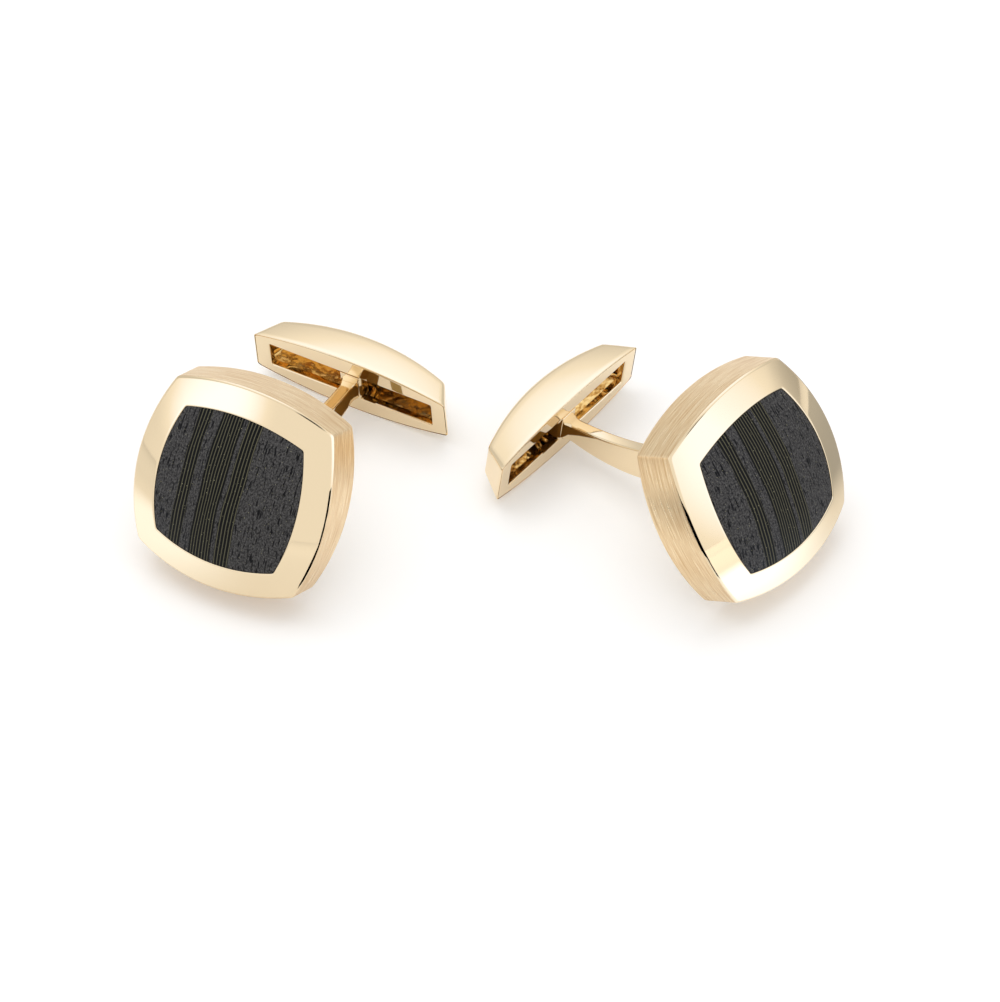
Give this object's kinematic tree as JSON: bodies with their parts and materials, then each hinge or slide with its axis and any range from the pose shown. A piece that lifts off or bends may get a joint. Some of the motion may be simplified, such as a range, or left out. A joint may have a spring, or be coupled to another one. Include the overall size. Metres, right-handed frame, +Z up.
{
  "type": "pair of swivel-bar cufflinks",
  "caption": "Pair of cushion-shaped cufflinks with a dark wood inlay, a curved post and a slotted toggle that swings on a pin.",
  "frame": {"origin": "bottom centre of the pair's bounding box, on the table they lie on", "axes": "+X from the left cufflink to the right one, +Y away from the viewer, +Z up"},
  "size_m": [0.0548, 0.0288, 0.0162],
  "materials": {
    "polished_gold": "mirror polished yellow gold",
    "brushed_gold": "yellow gold, brushed along each side",
    "dark_wood": "near-black oiled wood with fine straight grain",
    "spring_steel": "plain spring steel"
  },
  "bodies": {
    "left_cufflink": {"left_side_band": "brushed_gold", "left_bezel": "polished_gold", "left_inlay": "dark_wood", "left_inlay_bed": "polished_gold", "left_back_plate": "polished_gold", "left_post": "polished_gold"},
    "left_toggle": {"left_toggle_plate": "polished_gold", "left_toggle_shell": "polished_gold", "left_hinge_pin": "polished_gold", "left_leaf_spring": "spring_steel"},
    "right_cufflink": {"right_side_band": "brushed_gold", "right_bezel": "polished_gold", "right_inlay": "dark_wood", "right_inlay_bed": "polished_gold", "right_back_plate": "polished_gold", "right_post": "polished_gold"},
    "right_toggle": {"right_toggle_plate": "polished_gold", "right_toggle_shell": "polished_gold", "right_hinge_pin": "polished_gold", "right_leaf_spring": "spring_steel"}
  },
  "joints": [
    {"name": "left_toggle_swing", "type": "hinge", "parent": "left_cufflink", "child": "left_toggle", "pos_m": [-0.01051, 0.00933, 0.0031], "axis": [-0.0628, -0.1192, 0.9909], "range_deg": [-65, 65]},
    {"name": "right_lift", "type": "slide", "parent": "left_cufflink", "child": "right_cufflink", "axis": [0, 0, 1], "range_m": [0, 0.03]},
    {"name": "right_toggle_swing", "type": "hinge", "parent": "right_cufflink", "child": "right_toggle", "pos_m": [0.00558, 0.00504, 0.0031], "axis": [0.1053, -0.0841, 0.9909], "range_deg": [-65, 65]}
  ]
}
